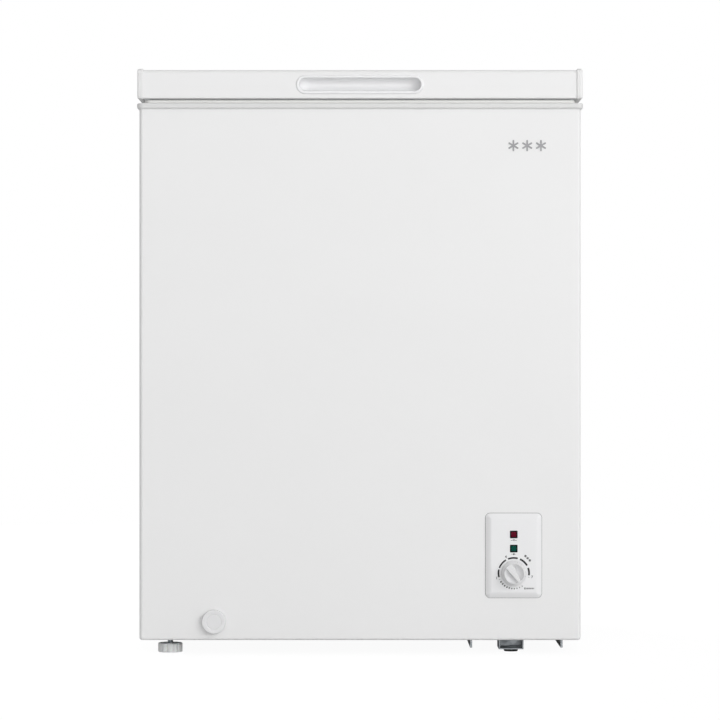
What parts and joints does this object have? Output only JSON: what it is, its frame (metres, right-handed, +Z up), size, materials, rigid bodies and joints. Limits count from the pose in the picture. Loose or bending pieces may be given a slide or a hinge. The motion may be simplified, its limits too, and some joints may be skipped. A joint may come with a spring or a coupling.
{
  "type": "chest freezer",
  "caption": "Small white chest freezer with a sprung top lid, a recessed front grip, a dial panel low on the right and a wire hanging basket.",
  "frame": {"origin": "on the floor, under the middle of the bounding box", "axes": "+Z up, +Y towards the back with the hinges, -Y is the front, +X is to the right of someone facing the front"},
  "size_m": [0.6316, 0.5734, 0.829],
  "materials": {
    "white_steel": "satin white powder coat",
    "rear_steel": "satin white coil coat",
    "lid_steel": "satin white powder coat",
    "galvanised_steel": "galvanised, dull spangle",
    "compressor_paint": "semi-gloss black enamel",
    "motor_iron": "as cast",
    "bright_steel": "zinc plated",
    "copper_tube": "drawn copper, slightly tarnished",
    "aluminium_tube": "drawn",
    "rigid_foam": "cast polyurethane foam",
    "liner_plastic": "smooth white polystyrene",
    "frame_plastic": "fine satin white",
    "handle_plastic": "smooth white",
    "panel_plastic": "smooth white",
    "knob_plastic": "smooth pale grey",
    "cap_plastic": "satin pale grey",
    "foot_plastic": "satin pale grey",
    "gasket_rubber": "soft white vinyl",
    "black_rubber": "matt black",
    "red_lamp": "clear-coated dark red",
    "green_lamp": "clear-coated dark green",
    "black_plastic": "matt black",
    "cable_sleeve": "ribbed black sleeve",
    "badge_grey": "satin grey print film",
    "drain_plastic": "smooth white",
    "basket_wire": "white plastic-coated wire"
  },
  "bodies": {
    "cabinet": {"base_plate": "galvanised_steel", "bay_wall": "galvanised_steel", "bottom_panel": "galvanised_steel", "cabinet_foam": "rigid_foam", "capillary_tube": "copper_tube", "compressor_bolts": "bright_steel", "compressor_bracket": "compressor_paint", "compressor_grommets": "black_rubber", "compressor_lower_shell": "compressor_paint", "compressor_motor": "motor_iron", "compressor_upper_shell": "compressor_paint", "condenser_coil": "copper_tube", "control_panel": "panel_plastic", "cord_gland": "black_rubber", "cover_screws": "bright_steel", "discharge_tube": "copper_tube", "drain_tube": "drain_plastic", "evaporator_coil": "aluminium_tube", "filter_drier": "copper_tube", "foot_brackets": "galvanised_steel", "foot_pads": "black_rubber", "foot_sockets": "galvanised_steel", "front_badge": "badge_grey", "green_lens": "green_lamp", "hinge_base_screws": "bright_steel", "hinge_bases": "galvanised_steel", "hinge_covers": "frame_plastic", "hinge_pins": "bright_steel", "hinge_springs": "bright_steel", "inner_liner": "liner_plastic", "lamp_holders": "black_plastic", "outer_shell": "white_steel", "rear_cover": "rear_steel", "rear_panel": "rear_steel", "red_lens": "red_lamp", "side_vent": "frame_plastic", "suction_tube": "copper_tube", "terminal_cover": "black_plastic", "thermostat": "black_plastic", "top_frame": "frame_plastic", "wiring_harness": "cable_sleeve"},
    "lid": {"lid_panel": "lid_steel", "lid_foam": "rigid_foam", "lid_liner": "liner_plastic", "lid_gasket": "gasket_rubber", "right_end_cap": "frame_plastic", "left_end_cap": "frame_plastic", "lid_handle": "handle_plastic", "hinge_arms": "galvanised_steel", "hinge_arm_screws": "bright_steel"},
    "plungers": {"hinge_plungers": "bright_steel"},
    "knob": {"knob": "knob_plastic", "knob_shaft": "bright_steel"},
    "drain_cap": {"drain_cap": "cap_plastic"},
    "drain_stopper": {"drain_stopper": "black_rubber"},
    "front_foot": {"front_foot": "foot_plastic"},
    "rear_foot": {"rear_foot": "foot_plastic"},
    "basket": {"basket_rim": "basket_wire", "basket_grids": "basket_wire"}
  },
  "joints": [
    {"name": "lid_hinge", "type": "hinge", "parent": "cabinet", "child": "lid", "pos_m": [0, 0.27475, 0.79], "axis": [-1, 0, 0], "range_deg": [0, 75], "stiffness_Nm_per_rad": 5, "springref_deg": 91.67, "deforming": ["hinge_springs"]},
    {"name": "plunger_slide", "type": "slide", "parent": "cabinet", "child": "plungers", "axis": [0, 0, 1], "range_m": [0, 0.0111]},
    {"name": "temperature_knob", "type": "hinge", "parent": "cabinet", "child": "knob", "pos_m": [0.2174, -0.27725, 0.1152], "axis": [0, 1, 0], "range_deg": [0, 305]},
    {"name": "drain_cap_pull", "type": "slide", "parent": "cabinet", "child": "drain_cap", "axis": [0, -1, 0], "range_m": [0, 0.03]},
    {"name": "drain_stopper_lift", "type": "slide", "parent": "cabinet", "child": "drain_stopper", "axis": [0, 0, 1], "range_m": [0, 0.04]},
    {"name": "front_foot_turn", "type": "hinge", "parent": "cabinet", "child": "front_foot", "pos_m": [-0.271, -0.22525, 0], "axis": [0, 0, 1], "range_deg": [-180, 180]},
    {"name": "rear_foot_turn", "type": "hinge", "parent": "cabinet", "child": "rear_foot", "pos_m": [-0.271, 0.21575, 0], "axis": [0, 0, 1], "range_deg": [-180, 180]},
    {"name": "basket_slide", "type": "slide", "parent": "cabinet", "child": "basket", "axis": [1, 0, 0], "range_m": [-0.283, 0]}
  ],
  "couplings": [
    {"joint": "plunger_slide", "follows": "lid_hinge", "m_per_rad": 0.008371}
  ]
}
